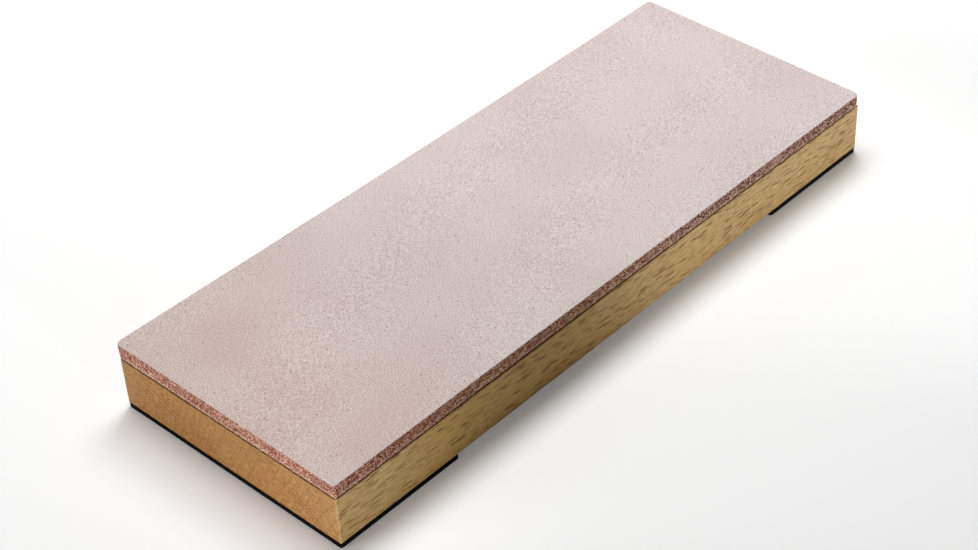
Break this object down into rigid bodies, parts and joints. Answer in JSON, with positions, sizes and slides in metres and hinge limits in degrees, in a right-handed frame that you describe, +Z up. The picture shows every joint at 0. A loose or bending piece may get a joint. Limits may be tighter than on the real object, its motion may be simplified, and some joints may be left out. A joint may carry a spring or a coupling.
{
  "type": "leather strop",
  "caption": "Flat bench strop: a thick leather slab glued to a solid hardwood block that stands on a rubber pad under each end.",
  "frame": {"origin": "middle of the block's outline, on the surface that the rubber pads rest on", "axes": "+X along the block's length, +Y across its width, +Z up through the leather's working face"},
  "size_m": [0.203, 0.076, 0.0198],
  "materials": {
    "beech": "satin",
    "strop_leather": "matte",
    "contact_adhesive": "satin",
    "black_rubber": "matte",
    "adhesive_film": "matte"
  },
  "bodies": {
    "root": {"beech_block": "beech", "leather_slab": "strop_leather", "leather_adhesive": "contact_adhesive", "rubber_pad_left": "black_rubber", "rubber_pad_right": "black_rubber", "pad_film_left": "adhesive_film", "pad_film_right": "adhesive_film"}
  },
  "joints": []
}
